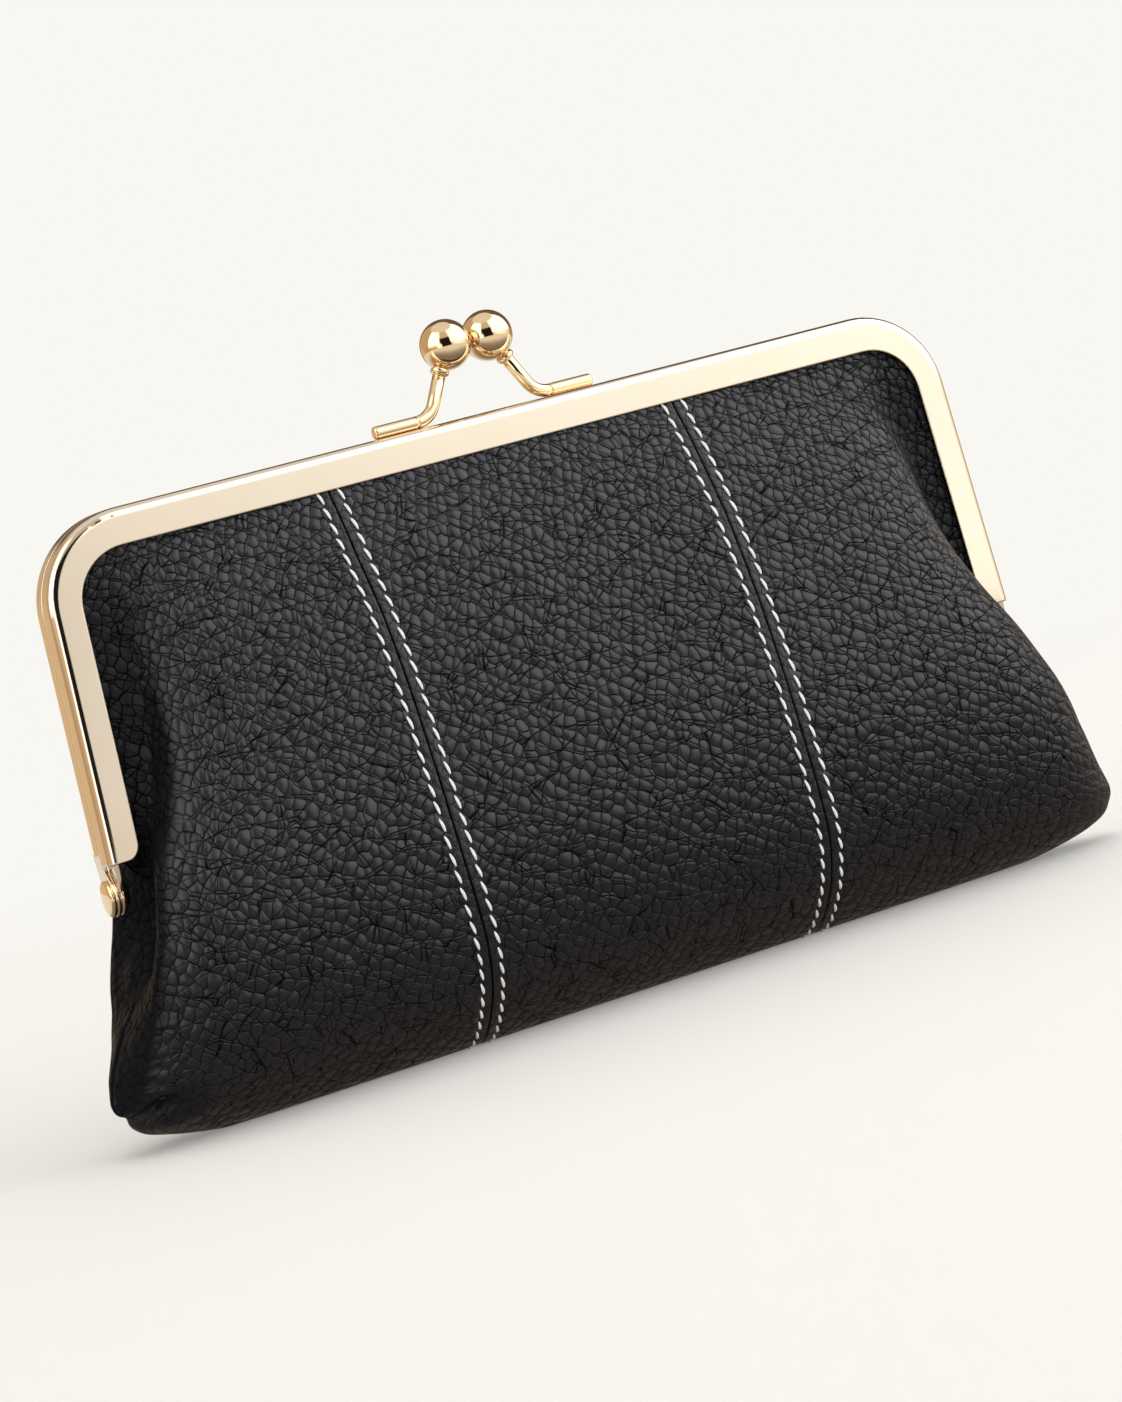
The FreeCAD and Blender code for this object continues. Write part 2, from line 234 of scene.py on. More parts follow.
def makePebbleGroup():
    group, given, result = newGroup(
        "pebbleGrain",
        [("Place", "NodeSocketVector"), ("Press", "NodeSocketFloat"), ("Gather", "NodeSocketFloat")],
        [("Height", "NodeSocketFloat"), ("CreaseShade", "NodeSocketFloat"), ("Patch", "NodeSocketFloat")],
    )
    link = group.links.new
    place = given.outputs["Place"]
    for scale, reach in pebble["wander"]:
        place = wandering(group, place, scale, reach)
    lattice = latticePlace(group, place)
    edge = cellNode(group, lattice, "DISTANCE_TO_EDGE", uneven=pebble["uneven"])
    near = cellNode(group, lattice, "F1", uneven=pebble["uneven"])
    pore = addNode(group, "ShaderNodeTexNoise", Scale=pebble["poreScale"], Detail=2.0, Vector=place)
    fade = addNode(group, "ShaderNodeTexNoise", Scale=pebble["fadeScale"], Detail=1.0, Vector=place)
    deep = ranged(group, fade.outputs["Fac"], 0, pebble["fadeTop"], *pebble["fade"])
    dome = mathNode(group, "MULTIPLY", near["Distance"], near["Distance"])
    height = mathNode(group, "MULTIPLY", dome, -pebble["dome"])
    # painted shade: the creases and long folds are darkened in colour and shine as well as sunk
    dark = ranged(group, edge["Distance"], 0, pebble["creaseWidth"], 1, 0)
    dark = mathNode(group, "MULTIPLY", dark, deep, clamp=True)
    height = mathNode(group, "SUBTRACT", height, mathNode(group, "MULTIPLY", dark, pebble["creaseDepth"]))
    for k, (degrees, run) in enumerate(pebble["folds"]):
        turned = addNode(group, "ShaderNodeMapping", vector_type="TEXTURE", Vector=place,
                         Location=k * Vector(pebble["foldShift"]),
                         Rotation=(0, 0, math.radians(degrees)), Scale=(run, 1, 1))
        fold = cellNode(group, turned.outputs[0], "DISTANCE_TO_EDGE", pebble["foldScale"])
        sunk = ranged(group, fold["Distance"], 0, pebble["foldWidth"], 1, 0)
        sunk = mathNode(group, "MULTIPLY", sunk, deep, clamp=True)
        height = mathNode(group, "SUBTRACT", height, mathNode(group, "MULTIPLY", sunk, pebble["foldDepth"]))
        dark = mathNode(group, "MAXIMUM", dark, mathNode(group, "MULTIPLY", sunk, sunk))
    pores = mathNode(group, "MULTIPLY", pore.outputs["Fac"], pebble["poreDepth"])
    height = mathNode(group, "ADD", height, pores)
    keep = mathNode(group, "SUBTRACT", 1.0, given.outputs["Press"], clamp=True)
    height = mathNode(group, "MULTIPLY", height, keep)
    drawn = vectorNode(group, "MULTIPLY", place, pebble["gatherStretch"])[0]
    ripple = addNode(group, "ShaderNodeTexNoise", Scale=1.0, Detail=1.0, Vector=drawn)
    pulled = mathNode(group, "MULTIPLY", given.outputs["Gather"], pebble["gatherDepth"])
    height = mathNode(group, "ADD", height, mathNode(group, "MULTIPLY", ripple.outputs["Fac"], pulled))
    link(height, result.inputs["Height"])
    link(mathNode(group, "MULTIPLY", dark, keep), result.inputs["CreaseShade"])
    link(near["Color"], result.inputs["Patch"])
    return group


pebbleGrain = makePebbleGroup()

leatherLook = {
    "top": (0.0105, 0.0108, 0.0135, 1),
    # painted shade in the creases, far darker than the pebble tops
    "deep": (0.0015, 0.0015, 0.0015, 1),
    "bump": 1.0,
    "shine": 0.44,
    # painted shade: little shine is left in the creases
    "creaseShine": 0.05,
    "tint": (0.94, 0.95, 1.0, 1),
    "foldShadeShine": 0.02,           # painted shade: share of the shine that is left where the sides fold in
    "roughLow": 0.30,
    "roughHigh": 0.42,
}


def makeLeather():
    material, tree, shader = newMaterial("pebbledLeather")
    link = tree.links.new
    uv = addNode(tree, "ShaderNodeUVMap", uv_map="grain")
    press, gather, foldShade = [
        addNode(tree, "ShaderNodeAttribute", attribute_name=label).outputs["Fac"]
        for label in ("press", "gather", "foldShade")
    ]
    grain = addNode(tree, "ShaderNodeGroup", node_tree=pebbleGrain)
    for label, value in (("Place", uv.outputs["UV"]), ("Press", press), ("Gather", gather)):
        link(value, grain.inputs[label])
    creaseShade, patch = grain.outputs["CreaseShade"], grain.outputs["Patch"]
    # painted shade in the creases: darker colour and less shine there
    link(mixColours(tree, creaseShade, leatherLook["top"], leatherLook["deep"]), shader.inputs["Base Color"])
    shine = ranged(tree, creaseShade, 0, 1, leatherLook["shine"], leatherLook["creaseShine"], "LINEAR")
    # painted shade takes the shine off where the sides fold in
    left = ranged(tree, foldShade, 0, 1, 1, leatherLook["foldShadeShine"], "LINEAR")
    link(mathNode(tree, "MULTIPLY", shine, left), shader.inputs["Specular IOR Level"])
    rough = ranged(tree, patch, 0, 1, leatherLook["roughLow"], leatherLook["roughHigh"], "LINEAR")
    link(rough, shader.inputs["Roughness"])
    shader.inputs["Specular Tint"].default_value = leatherLook["tint"]
    bump = addNode(tree, "ShaderNodeBump", Strength=leatherLook["bump"], Distance=mm,
                   Height=grain.outputs["Height"])
    link(bump.outputs["Normal"], shader.inputs["Normal"])
    return material


goldLook = {
    "frame": (0.80, 0.69, 0.55, 1),
    "knob": (0.88, 0.68, 0.43, 1),
    "frameRough": 0.06,
    "knobRough": 0.04,
    "smearScale": 60.0,
    "smearSpread": 0.25,        # how much rougher and smoother the polish is in places
    "smearShade": 0.93,
    "rounded": 0.5 * mm,        # how far the polish rounds the edges
    "edgeSamples": 8,
}


def makeGold(name, tint, rough):
    material, tree, shader = newMaterial(name)
    link = tree.links.new
    shader.inputs["Metallic"].default_value = 1.0
    spot = addNode(tree, "ShaderNodeTexCoord")
    smear = addNode(tree, "ShaderNodeTexNoise", Scale=goldLook["smearScale"], Detail=4.0,
                    Vector=spot.outputs["Object"])
    smears = smear.outputs["Fac"]
    swing = rough * goldLook["smearSpread"]
    link(ranged(tree, smears, 0, 1, rough - swing, rough + swing, "LINEAR"), shader.inputs["Roughness"])
    shaded = tuple(goldLook["smearShade"] * c for c in tint[:3]) + (1,)
    link(mixColours(tree, smears, tint, shaded), shader.inputs["Base Color"])
    edges = addNode(tree, "ShaderNodeBevel", samples=goldLook["edgeSamples"], Radius=goldLook["rounded"])
    link(edges.outputs["Normal"], shader.inputs["Normal"])
    return material


leather = makeLeather()
frameGold = makeGold("paleGoldFrame", goldLook["frame"], goldLook["frameRough"])
knobGold = makeGold("paleGoldKnob", goldLook["knob"], goldLook["knobRough"])


strandLook = {
    "whiteThread": {
        "dark": (0.89, 0.88, 0.86, 1), "light": (0.96, 0.96, 0.95, 1),
        "twist": 420.0, "wobble": 1.5, "rough": 0.6,
    },
    "paperCord": {
        "dark": (0.30, 0.24, 0.16, 1), "light": (0.48, 0.40, 0.29, 1),
        "twist": 300.0, "wobble": 2.0, "rough": 0.8,
    },
}


def makeStrand(name):
    # twisted plies, slanting across the strand
    look = strandLook[name]
    material, tree, shader = newMaterial(name)
    link = tree.links.new
    spot = addNode(tree, "ShaderNodeTexCoord")
    plies = addNode(tree, "ShaderNodeTexWave", wave_type="BANDS", bands_direction="DIAGONAL",
                    Scale=look["twist"], Distortion=look["wobble"], Vector=spot.outputs["Object"])
    link(mixColours(tree, plies.outputs["Fac"], look["dark"], look["light"]), shader.inputs["Base Color"])
    shader.inputs["Roughness"].default_value = look["rough"]
    return material


liningLook = {
    "dark": (0.018, 0.018, 0.02, 1),
    "light": (0.05, 0.05, 0.054, 1),
    "weave": 2.4,
    "rough": 0.7,
    "bump": 0.3,
    "bumpHeight": 0.2 * mm,
}


def makeLiningCloth():
    material, tree, shader = newMaterial("blackLining")
    link = tree.links.new
    uv = addNode(tree, "ShaderNodeUVMap", uv_map="grain")
    bands = []
    for way in ("X", "Y"):
        band = addNode(tree, "ShaderNodeTexWave", wave_type="BANDS", bands_direction=way,
                       Scale=liningLook["weave"], Vector=uv.outputs["UV"])
        bands.append(band.outputs["Fac"])
    cloth = mathNode(tree, "MULTIPLY", *bands)
    link(mixColours(tree, cloth, liningLook["dark"], liningLook["light"]), shader.inputs["Base Color"])
    shader.inputs["Roughness"].default_value = liningLook["rough"]
    bump = addNode(tree, "ShaderNodeBump", Strength=liningLook["bump"], Distance=liningLook["bumpHeight"],
                   Height=cloth)
    link(bump.outputs["Normal"], shader.inputs["Normal"])
    return material


thread = makeStrand("whiteThread")
paperCord = makeStrand("paperCord")
liningCloth = makeLiningCloth()
print("materials made")


# bag shape: what one half of the skin measures, front or rear

bag = {
    # rise above the hinge axis, depth at the middle
    "profile": [
        (70.2, 4.2), (66.5, 4.2), (63.6, 5.3), (57.0, 8.6), (50.0, 11.6), (42.0, 14.2), (32.0, 17.0),
        (23.0, 19.2), (12.0, 21.6), (2.0, 23.4), (-10.0, 24.4), (-20.0, 23.7), (-28.0, 21.9), (-36.0, 17.8),
        (-42.0, 12.6), (-46.4, 7.2), (-48.3, 3.0), (-48.4, 0.0),
    ],
    # rise; half width and share of the depth at the ridge; half width and depth at the valley and the edge
    "girth": [
        (72.0, 74.0, 1.00, 86.0, 4.2, 98.6, 4.2),
        (64.0, 75.5, 0.90, 86.0, 4.2, 98.6, 4.2),
        (54.0, 78.5, 0.74, 85.5, 4.3, 98.7, 4.2),
        (42.0, 82.5, 0.68, 87.0, 4.4, 99.1, 4.2),
        (31.0, 84.8, 0.66, 88.2, 4.6, 99.5, 4.2),
        (20.0, 88.0, 0.66, 89.4, 4.6, 99.8, 4.2),
        (10.0, 92.4, 0.66, 91.4, 3.6, 99.2, 3.6),
        (3.0, 96.4, 0.66, 92.6, 1.6, 95.6, 1.6),
        (-4.0, 100.0, 0.66, 92.8, 0.7, 92.4, 0.0),
        (-12.0, 103.0, 0.64, 95.4, 0.7, 95.0, 0.0),
        (-20.0, 105.0, 0.59, 102.8, 1.3, 102.6, 0.0),
        (-24.0, 105.4, 0.58, 105.8, 1.9, 105.8, 0.0),
        (-28.0, 105.6, 0.57, 107.5, 2.4, 107.5, 0.0),
        (-35.0, 105.6, 0.61, 109.8, 2.6, 109.9, 0.0),
        (-39.0, 105.8, 0.66, 110.4, 2.6, 110.5, 0.0),
        (-42.5, 104.8, 0.66, 109.0, 2.2, 109.1, 0.0),
        (-45.0, 102.2, 0.60, 105.8, 1.6, 105.9, 0.0),
        (-47.0, 97.8, 0.52, 99.9, 0.8, 100.1, 0.0),
        (-48.5, 91.0, 0.45, 91.8, 0.3, 92.2, 0.0),
    ],
    "shoulderIn": 14.0,
    "shoulderShare": 0.94,
    "turnIn": 5.6,
    "turnShare": 0.60,
    "hemShare": 0.8,                # share of a lining's inset that its valley and edge take
    "baseFrom": -40.0,              # below this rise a lining lifts off the base
    "baseDepth": 9.0,
    "seam": 38.4,
    # rise, how far both seams sit to the right
    "seamShift": [
        (72.0, -1.1), (50.0, -1.1), (40.0, -0.6), (20.0, -0.75), (0.0, -1.25), (-10.0, -1.25), (-20.0, -0.7),
        (-30.0, 0.05), (-38.0, 0.3), (-48.5, 0.3),
    ],
    # rise, how far the left and the right end reach out further
    "endReach": [
        (72.0, 0.0, 0.0), (4.0, 0.0, 0.0), (-8.0, -1.2, 0.6), (-22.0, -0.8, 1.6), (-26.0, 0.2, 2.7),
        (-30.0, 1.0, 3.9), (-33.0, 1.4, 4.7), (-38.0, 1.4, 5.2), (-41.0, 0.7, 5.0), (-44.0, -0.3, 4.4),
        (-46.5, -0.2, 3.0), (-48.5, 0.0, 1.4),
    ],
    "endFrom": 80.0,
    "archHalf": 82.0,
    "archCorner": 16.65,
    "archRise": 53.6,
    "archValley": 3.0,              # least distance from the frame to the valley, and from there to the ridge
    "archRidge": 6.0,
    "profileSamples": 40,
    "girthSamples": 24,
    "rows": 104,
    "crowd": (-40.5, 4.0, 2.0),     # rise where the rows crowd for the corner fold, reach, gain
    "centreColumns": 58,
    "sideColumns": 84,
    "thickness": 1.2,
    "floorGap": 0.1,
    "seamCrowd": 0.86,              # how far the columns crowd together at the seams
    "sideCrowd": (1.75, 1.05),
    "cell": 2.2,
    "rearGrain": 91,                # the rear shows another stretch of the grain
    "grainAcross": (1.02, 0.85, 0.76),   # density of the grain at the top, the middle and the base
    "grainDown": (0.95, 0.94, 0.96),
}


def rising(value, start, end):
    # 0 at start, 1 at end and straight between them
    return min(max((value - start) / (end - start), 0.0), 1.0)


def smoothTable(points, at):
    # monotone cubic through the rows of a table whose first column falls
    table = np.array(points, float)[::-1]
    x, y = table[:, 0], table[:, 1:]
    h = np.diff(x)
    slope = np.diff(y, axis=0) / h[:, None]
    tangent = np.zeros_like(y)
    tangent[0], tangent[-1] = slope[0], slope[-1]
    a, b = slope[:-1], slope[1:]
    same = a * b > 0
    tangent[1:-1] = np.where(same, 2 * a * b / np.where(same, a + b, 1), 0)
    k = np.clip(np.searchsorted(x, at) - 1, 0, len(x) - 2)
    t = ((at - x[k]) / h[k])[:, None]
    w = h[k][:, None]
    return (
        (1 + 2 * t) * (1 - t) ** 2 * y[k] + t * (1 - t) ** 2 * w * tangent[k]
        + t * t * (3 - 2 * t) * y[k + 1] + t * t * (t - 1) * w * tangent[k + 1]
    )


def splineThrough(points, count):
    # dense points of a Catmull-Rom curve
    p = np.array(points, float)
    p = np.vstack([2 * p[0] - p[1], p, 2 * p[-1] - p[-2]])
    samples = []
    for i in range(len(p) - 3):
        t = np.linspace(0, 1, count, endpoint=False)[:, None]
        a, b, c, d = p[i:i + 4]
        samples.append(0.5 * (2 * b + (c - a) * t + (2 * a - 5 * b + 4 * c - d) * t ** 2
                              + (3 * b - a - 3 * c + d) * t ** 3))
    return np.vstack(samples + [p[-2:-1]])


def spread(line, count, crowd):
    # samples along a line, closer together near one rise
    where, reach, gain = crowd
    step = np.linalg.norm(np.diff(line, axis=0), axis=1)
    step *= 1 + gain * np.exp(-((line[1:, 0] - where) / reach) ** 2)
    run = np.concatenate([[0], np.cumsum(step)])
    at = np.linspace(0, run[-1], count)
    return np.stack([np.interp(at, run, line[:, i]) for i in range(line.shape[1])], 1)


def bSpline(points, count):
    # clamped cubic B-spline, sampled densely, for the soft turn over a ridge and into a valley
    p = np.array(points, float)
    p = np.vstack([2 * p[0] - p[1], p, 2 * p[-1] - p[-2]])
    t = np.linspace(0, 1, count, endpoint=False)[:, None]
    spans = []
    for i in range(len(p) - 3):
        a, b, c, d = p[i:i + 4]
        spans.append(((1 - t) ** 3 * a + (3 * t ** 3 - 6 * t ** 2 + 4) * b
                      + (-3 * t ** 3 + 3 * t ** 2 + 3 * t + 1) * c + t ** 3 * d) / 6)
    last = (p[-3] + 4 * p[-2] + p[-1]) / 6
    return np.vstack(spans + [last[None]])


def makeSkinRows(inset):
    # one half girth per row, from the middle to the side edge, as dense lines of (x, depth, rise)
    line = spread(splineThrough(bag["profile"], bag["profileSamples"]), bag["rows"] + 1, bag["crowd"])
    girth = smoothTable(bag["girth"], np.clip(line[:, 0], bag["girth"][-1][0], bag["girth"][0][0]))
    rows = []
    for (rise, depth), (ridge, share, valley, valleyDepth, edge, edgeDepth) in zip(line, girth):
        over = max(rise - bag["archRise"], 0)
        if over:
            arch = bag["archHalf"] + math.sqrt(max(bag["archCorner"] ** 2 - over ** 2, 0.01))
            edge = min(edge, arch)
            valley = min(valley, edge - bag["archValley"])
            ridge = min(ridge, valley - bag["archRidge"])
        d = max(depth - inset, 0.0)
        hem = bag["hemShare"] * inset
        valleyDepth = min(max(valleyDepth - hem, 0), d)
        edgeDepth = min(max(edgeDepth - hem, 0), d)
        shoulder = ridge - bag["shoulderIn"] - inset
        ridgeDepth = max(d * share, valleyDepth)
        sag = 1 - bag["shoulderShare"]
        points = [(x * shoulder, d * (1 - sag * x ** 4)) for x in (0, 0.25, 0.5, 0.75, 1)]
        points += [
            (ridge - inset - bag["turnIn"], d * (share + (bag["shoulderShare"] - share) * bag["turnShare"])),
            (ridge - inset, ridgeDepth),
            ((ridge + valley) / 2 - inset, (ridgeDepth + valleyDepth) / 2),
            (valley - inset, valleyDepth),
            ((edge + valley) / 2 - inset, (edgeDepth + valleyDepth) / 2),
            (edge - inset, edgeDepth),
        ]
        flat = bSpline(points, bag["girthSamples"])
        if rise < bag["baseFrom"]:
            rise += inset * (1 - min(depth / bag["baseDepth"], 1.0) / 2)
        rows.append(np.column_stack([flat, np.full(len(flat), rise)]))
    return rows


def alongSeam(t, gather):
    # columns crowd together near a seam
    return t - gather * np.sin(2 * np.pi * t) / (2 * np.pi)


def runAlong(row):
    return np.concatenate([[0], np.cumsum(np.linalg.norm(np.diff(row, axis=0), axis=1))])


def seamRuns(row, run):
    # girth from the middle to the left and to the right seam
    rise, shift = np.array(bag["seamShift"])[::-1].T
    aside = np.interp(row[0, 2], rise, shift)
    return [np.interp(bag["seam"] + way * aside, row[:, 0], run) for way in (-1, 1)]


def placeRow(row, strip, t):
    # points of one row for shares t across a strip
    run = runAlong(row)
    leftRun, rightRun = seamRuns(row, run)
    ends = {
        "centre": (-leftRun, rightRun),
        "right": (rightRun, run[-1]),
        "left": (-leftRun, -run[-1]),
        "whole": (-run[-1], run[-1]),
    }
    first, last = ends[strip]
    signed = first + t * (last - first)
    at = np.abs(signed)
    placed = np.stack([np.interp(at, run, row[:, i]) for i in range(3)], 1)
    placed[:, 0] *= np.where(signed < 0, -1.0, 1.0)
    rise, leftReach, rightReach = np.array(bag["endReach"])[::-1].T
    outer = np.clip((np.abs(placed[:, 0]) - bag["endFrom"]) / (row[:, 0].max() - bag["endFrom"]), 0, 1) ** 2
    toLeft, toRight = np.interp(row[0, 2], rise, leftReach), np.interp(row[0, 2], rise, rightReach)
    placed[:, 0] += outer * np.where(signed < 0, -toLeft, toRight)
    gap = np.minimum(np.abs(signed - rightRun), np.abs(signed + leftRun))
    return placed, signed, gap


# soft unevenness of the leather and the folded corner at each end of the base

wave = {
    "broad": 0.40,
    "broadReach": (26.0, 20.0),
    "side": 0.55,
    "sideReach": (8.0, 30.0),
    "sideFrom": 74.0,
    "sideTo": 90.0,
    "seeds": (5.3, 11.7),
    "top": (62.0, 52.0),           # rises between which all of it sets in, at the frame and at the base
    "base": (-48.0, -45.0),
}
corner = {
    "from": 96.0,
    "rise": -41.2,
    "lift": 1.9,                   # how much higher the fold is at its ends
    "reach": 10.0,                 # its ends, from the middle plane
    "fades": (1.2, 0.9),           # shares of the reach between which the fold sets in
    "depth": 1.7,
    "shallow": 0.45,               # share of the depth at the middle plane
    "width": 0.8,
    "pit": 1.9,
    "pitWidth": 1.4,
    "pitReach": 0.2,
    "lip": 0.7,
    "lipBelow": 2.6,
    "lipWidth": 1.5,
    "rightShare": 0.12,            # the right end is folded much less sharply
    "shadeWidth": 2.6,             # how far around the pit the grain is pressed flat and painted shade takes off the shine
    "shadeReach": 0.4,
}


def foldPlace(depth, rise):
    # share of the way to the fold's end, and millimetres above the fold
    end = depth / corner["reach"]
    return end, rise - corner["rise"] - corner["lift"] * end * end


def bell(off, width):
    return math.exp(-(off / width) ** 2)


def swell(x, depth, rise, facing):
    # millimetres outwards
    across, along = wave["broadReach"]
    broadSeed, sideSeed = wave["seeds"]
    out = wave["broad"] * noise.noise(Vector((x / across, rise / along, broadSeed * facing)))
    side = rising(abs(x), wave["sideFrom"], wave["sideTo"])
    if side:
        across, along = wave["sideReach"]
        spot = Vector((x / across + depth / across, rise / along, sideSeed * facing))
        out += side * wave["side"] * noise.noise(spot)
    if abs(x) > corner["from"]:
        end, off = foldPlace(depth, rise)
        inside = rising(end, *corner["fades"])
        deep = corner["depth"] * (corner["shallow"] + (1 - corner["shallow"]) * end)
        fold = deep * inside * bell(off, corner["width"])
        fold += corner["pit"] * bell(off, corner["pitWidth"]) * bell(end - 1, corner["pitReach"])
        fold -= corner["lip"] * inside * bell(off + corner["lipBelow"], corner["lipWidth"])
        out -= fold if x < 0 else fold * corner["rightShare"]
    return out * rising(rise, *wave["top"]) * rising(rise, *wave["base"])


drawIn = {
    "side": (96.0, 105.0),         # half widths and rises between which the grain is drawn together
    "upper": (-16.0, -28.0),
    "lower": (-46.0, -42.0),
    "press": 0.55,
}


def gathering(x, rise):
    # how far the grain is drawn together beside the base corners
    return rising(abs(x), *drawIn["side"]) * rising(rise, *drawIn["upper"]) * rising(rise, *drawIn["lower"])


# how close to the pit: the grain is pressed flat there and painted shade takes off the shine
def nearPit(x, depth, rise):
    if x > -corner["from"]:
        return 0.0
    end, off = foldPlace(depth, rise)
    return bell(off, corner["shadeWidth"]) * bell(end - 1, corner["shadeReach"])


# where painted shade takes the shine off in the side's fold, beside the frame and where the leather turns
# sideways; also where turning grain is pressed flat
sideFold = {
    "side": (79.0, 87.0),          # half widths between which the fold sets in
    "hinge": (14.0, 6.0),          # rises between which it deepens, at the hinge and beside the frame
    "frame": (66.0, 52.0),
    "frameShare": 0.75,
    "closes": (-34.0, -26.0),
    "depth": (11.0, 7.0),
    "limb": (0.60, 0.85),          # how far the leather faces sideways where it turns in, for the painted shade there
    "turn": (0.30, 0.55),
    "turnPress": 0.3,
    "pitPress": 0.9,
}


def inFold(x, depth, rise):
    # how deep in the side's fold, which sets the painted shade there
    level = rising(rise, *sideFold["hinge"]) + sideFold["frameShare"] * rising(rise, *sideFold["frame"])
    within = rising(abs(x), *sideFold["side"]) * rising(rise, *sideFold["closes"])
    return min(level, 1.0) * within * rising(depth, *sideFold["depth"])


seamDip = {
    "reach": [0.0, 0.08, 0.20, 0.40, 1.3, 1.8, 2.2, 2.7, 3.5, 5.0],
    "dip": [-0.8, -0.40, -0.08, 0.0, -0.04, -0.18, -0.32, -0.14, 0.04, 0.0],
    "press": 0.66,                 # how far the grain is pressed flat under the stitches, and out to where
    "pressReach": [1.9, 3.1],
}


def buildStrip(name, look, strip, facing, inset, columns, seams):
    skin = makeSkinRows(inset)
    rows = len(skin) - 1
    mesh = bmesh.new()
    uvLayer = mesh.loops.layers.uv.new("grain")
    pressLayer = mesh.verts.layers.float.new("press")
    gatherLayer = mesh.verts.layers.float.new("gather")
    foldShadeLayer = mesh.verts.layers.float.new("foldShade")
    bmesh.ops.create_grid(mesh, x_segments=columns, y_segments=rows, size=0.5)
    mesh.verts.ensure_lookup_table()
    across = np.array([v.co.x + 0.5 for v in mesh.verts])
    down = np.array([0.5 - v.co.y for v in mesh.verts])
    place = np.zeros((len(mesh.verts), 3))
    girthRun = np.zeros(len(mesh.verts))
    seamGap = np.zeros(len(mesh.verts))
    share = np.linspace(0, 1, rows + 1)
    finer = np.interp(share, [0, 0.5, 1], bag["grainAcross"])
    taller = np.interp(share, [0, 0.5, 1], bag["grainDown"])
    fall = np.zeros(rows + 1)
    for i in range(1, rows + 1):
        fall[i] = fall[i - 1] + np.linalg.norm(skin[i][0] - skin[i - 1][0]) * taller[i]
    rowOf = np.rint(down * rows).astype(int)
    fromLeft = 1 - across if strip == "left" else across
    crowded = fromLeft
    if seams and strip == "centre":
        crowded = alongSeam(across, bag["seamCrowd"])
    elif seams:
        power, extra = bag["sideCrowd"]
        crowded = fromLeft ** power * (1 + extra - extra * fromLeft)
    for i in range(rows + 1):
        mine = rowOf == i
        place[mine], girthRun[mine], seamGap[mine] = placeRow(skin[i], strip, crowded[mine])
    for v, (x, depth, rise) in zip(mesh.verts, place):
        v.co = (x * mm, facing * depth * mm, hingeZ + rise * mm)
    bmesh.ops.recalc_face_normals(mesh, faces=mesh.faces)
    mesh.normal_update()
    if sum(face.normal.y for face in mesh.faces) * facing < 0:
        bmesh.ops.reverse_faces(mesh, faces=mesh.faces)
        mesh.normal_update()
    if seams:
        dips = np.interp(seamGap, seamDip["reach"], seamDip["dip"])
        normals = [v.normal.copy() for v in mesh.verts]
        pressed = np.interp(seamGap, seamDip["pressReach"], [seamDip["press"], 0])
        for v, n, dip, spot, amount in zip(mesh.verts, normals, dips, place, pressed):
            v.co += n * (dip + swell(*spot, facing)) * mm
            v.co.z = max(v.co.z, bag["floorGap"] * mm)
            turning = sideFold["turnPress"] * rising(abs(n.x), *sideFold["turn"])
            drawn = gathering(spot[0], spot[2])
            pit = nearPit(*spot)
            v[pressLayer] = max(amount, turning, drawIn["press"] * drawn, sideFold["pitPress"] * pit)
            v[gatherLayer] = drawn
            # painted shade: the shine is taken off where the leather faces sideways, around the pit and deep
            # in the side's fold
            v[foldShadeLayer] = max(rising(abs(n.x), *sideFold["limb"]), pit, inFold(*spot))
    for face in mesh.faces:
        face.smooth = True
        for loop in face.loops:
            k = loop.vert.index
            i = rowOf[k]
            shift = bag["rearGrain"] if facing > 0 else 0
            loop[uvLayer].uv = (girthRun[k] * finer[i] / bag["cell"] + shift, fall[i] / bag["cell"])
    return asPiece(name, mesh, look)


def thicken(piece, amount):
    solid = piece.modifiers.new("thickness", "SOLIDIFY")
    solid.thickness = amount
    solid.offset = -1
    soft = piece.modifiers.new("soften", "SUBSURF")
    soft.levels = soft.render_levels = 1


halves = {"front": -1, "rear": 1}

for half, facing in halves.items():
    for strip in ("left", "centre", "right"):
        columns = bag["centreColumns"] if strip == "centre" else bag["sideColumns"]
        name = half + strip.capitalize() + "Leather"
        piece = buildStrip(name, leather, strip, facing, 0.0, columns, True)
        thicken(piece, bag["thickness"] * mm)
        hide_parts("%s_%s_panel" % (half, strip))
        if half == "front":
            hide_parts("pouch_%s_strip" % strip)
        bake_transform(piece)
print("leather strips made")

lining = {"inset": 2.2, "thickness": 0.4, "columns": 120}

for half, facing in halves.items():
    name = half + "Lining"
    piece = buildStrip(name, liningCloth, "whole", facing, lining["inset"], lining["columns"], False)
    thicken(piece, lining["thickness"] * mm)
    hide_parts(half + "_lining")
    if half == "front":
        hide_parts("pouch_lining")
    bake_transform(piece)
print("lining made")


# white double rows of stitches beside each seam

stitch = {
    "fromSeam": 2.2,
    "pitch": 3.45,
    "length": 3.2,
    "thick": 0.66,
    "proud": 0.02,
    "tilt": math.radians(-12),
    "dip": 0.45,
    "taper": 0.25,
    "acrossStep": 0.5,     # how far off the directions across and along a row are taken
    "alongStep": 0.6,
    "segments": 8,
    "rings": 7,
}


def seamLine(skin, seamSide, offset):
    # points and outward directions along a line beside a seam
    points, girthWay = [], []
    for row in skin:
        run = runAlong(row)
        seamRun = seamRuns(row, run)[seamSide > 0]
        here, beyond = [
            np.array([np.interp(seamRun + reach, run, row[:, i]) for i in range(3)])
            for reach in (offset, offset + stitch["acrossStep"])
        ]
        points.append(here * (seamSide, 1, 1))
        girthWay.append((beyond - here) * (seamSide, 1, 1))
    return np.array(points), np.array(girthWay)


